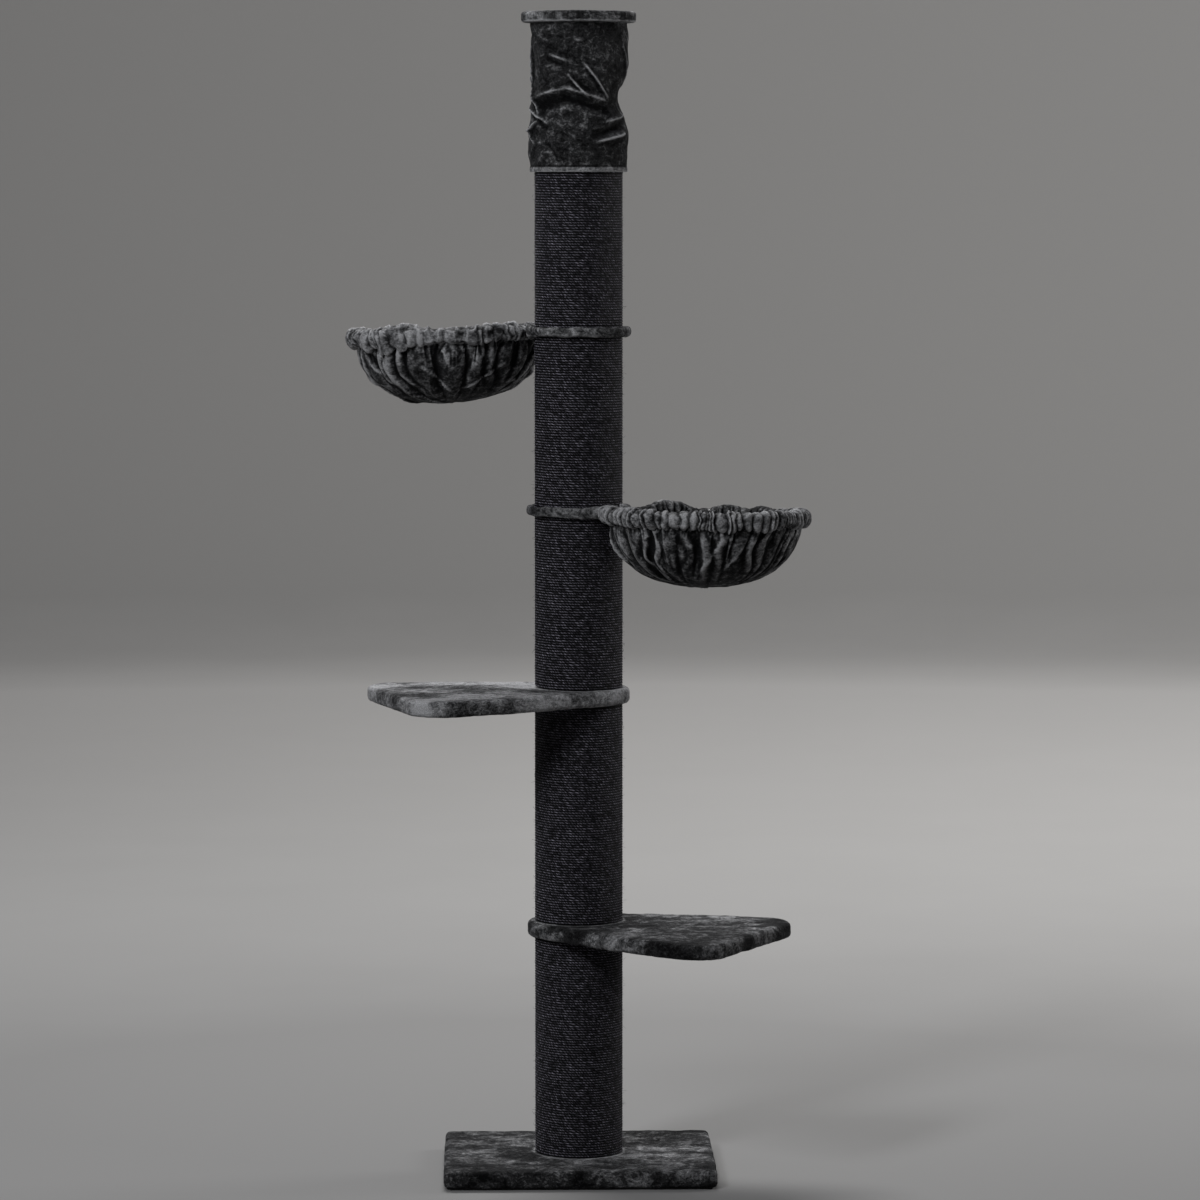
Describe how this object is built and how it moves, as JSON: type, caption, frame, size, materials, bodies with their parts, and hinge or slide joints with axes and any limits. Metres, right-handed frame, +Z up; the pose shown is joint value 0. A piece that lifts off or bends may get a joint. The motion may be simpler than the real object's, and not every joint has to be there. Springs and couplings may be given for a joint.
{
  "type": "cat tree",
  "caption": "Floor-to-ceiling cat tree: thick sisal post on a plush base, with shelves and hammocks clamped between its sections and a ceiling clamp under a sleeve.",
  "frame": {"origin": "on the floor, on the axis of the post, at the middle of the base's underside", "axes": "+Z up along the post; +X along the long side of the base; the front of the base faces -Y"},
  "size_m": [1.0484, 0.8583, 2.6384],
  "materials": {
    "plush": "short-pile plush, charcoal, with lighter brushed patches and folds",
    "sisal": "three-strand sisal rope dyed black, wound tight",
    "felt": "needle felt",
    "board": "raw particle board",
    "cardboard": "spiral-wound cardboard tube",
    "zinc_steel": "zinc plated",
    "black_steel": "black powder coat"
  },
  "bodies": {
    "column": {"base_underlay": "felt", "base_board": "board", "base_cover": "plush", "base_bolt": "zinc_steel", "base_washer": "zinc_steel", "post_tube_1": "cardboard", "sisal_wrap_1": "sisal", "bottom_cap_1": "board", "bottom_tee_nut_1": "zinc_steel", "top_cap_1": "board", "top_tee_nut_1": "zinc_steel", "stud_1": "zinc_steel", "post_tube_2": "cardboard", "sisal_wrap_2": "sisal", "bottom_cap_2": "board", "bottom_tee_nut_2": "zinc_steel", "top_cap_2": "board", "top_tee_nut_2": "zinc_steel", "stud_2": "zinc_steel", "post_tube_3": "cardboard", "sisal_wrap_3": "sisal", "bottom_cap_3": "board", "bottom_tee_nut_3": "zinc_steel", "top_cap_3": "board", "top_tee_nut_3": "zinc_steel", "stud_3": "zinc_steel", "post_tube_4": "cardboard", "sisal_wrap_4": "sisal", "bottom_cap_4": "board", "bottom_tee_nut_4": "zinc_steel", "top_cap_4": "board", "top_tee_nut_4": "zinc_steel", "stud_4": "zinc_steel", "post_tube_5": "cardboard", "sisal_wrap_5": "sisal", "bottom_cap_5": "board", "bottom_tee_nut_5": "zinc_steel", "top_cap_5": "board", "thrust_washer": "zinc_steel"},
    "lower_shelf": {"lower_shelf_board": "board", "lower_shelf_cover": "plush"},
    "upper_shelf": {"upper_shelf_board": "board", "upper_shelf_cover": "plush"},
    "right_hammock": {"right_clamp_plate": "black_steel", "right_ring": "black_steel", "right_sling": "plush", "right_collar": "plush"},
    "left_hammock": {"left_clamp_plate": "black_steel", "left_ring": "black_steel", "left_sling": "plush", "left_collar": "plush"},
    "adjusting_nut": {"adjusting_nut": "zinc_steel"},
    "ceiling_clamp": {"jack_spindle": "zinc_steel", "flange_screw_1": "zinc_steel", "flange_screw_2": "zinc_steel", "flange_screw_3": "zinc_steel", "flange_screw_4": "zinc_steel", "ceiling_board": "board", "ceiling_cover": "plush", "ceiling_sleeve": "plush"}
  },
  "joints": [
    {"name": "ceiling_slide", "type": "slide", "parent": "column", "child": "ceiling_clamp", "axis": [0, 0, 1], "range_m": [-0.175, 0.025], "deforming": ["ceiling_sleeve"]},
    {"name": "nut_turn", "type": "hinge", "parent": "column", "child": "adjusting_nut", "pos_m": [0, 0, 2.3344], "axis": [0, 0, 1], "continuous": true},
    {"name": "lower_shelf_turn", "type": "hinge", "parent": "column", "child": "lower_shelf", "pos_m": [0, 0, 0.5598], "axis": [0, 0, 1], "continuous": true},
    {"name": "upper_shelf_turn", "type": "hinge", "parent": "column", "child": "upper_shelf", "pos_m": [0, 0, 1.094], "axis": [0, 0, 1], "continuous": true},
    {"name": "right_hammock_turn", "type": "hinge", "parent": "column", "child": "right_hammock", "pos_m": [0, 0, 1.5149], "axis": [0, 0, 1], "continuous": true},
    {"name": "left_hammock_turn", "type": "hinge", "parent": "column", "child": "left_hammock", "pos_m": [0, 0, 1.9195], "axis": [0, 0, 1], "continuous": true}
  ],
  "couplings": [
    {"joint": "nut_turn", "follows": "ceiling_slide", "rad_per_m": -1570.8}
  ]
}
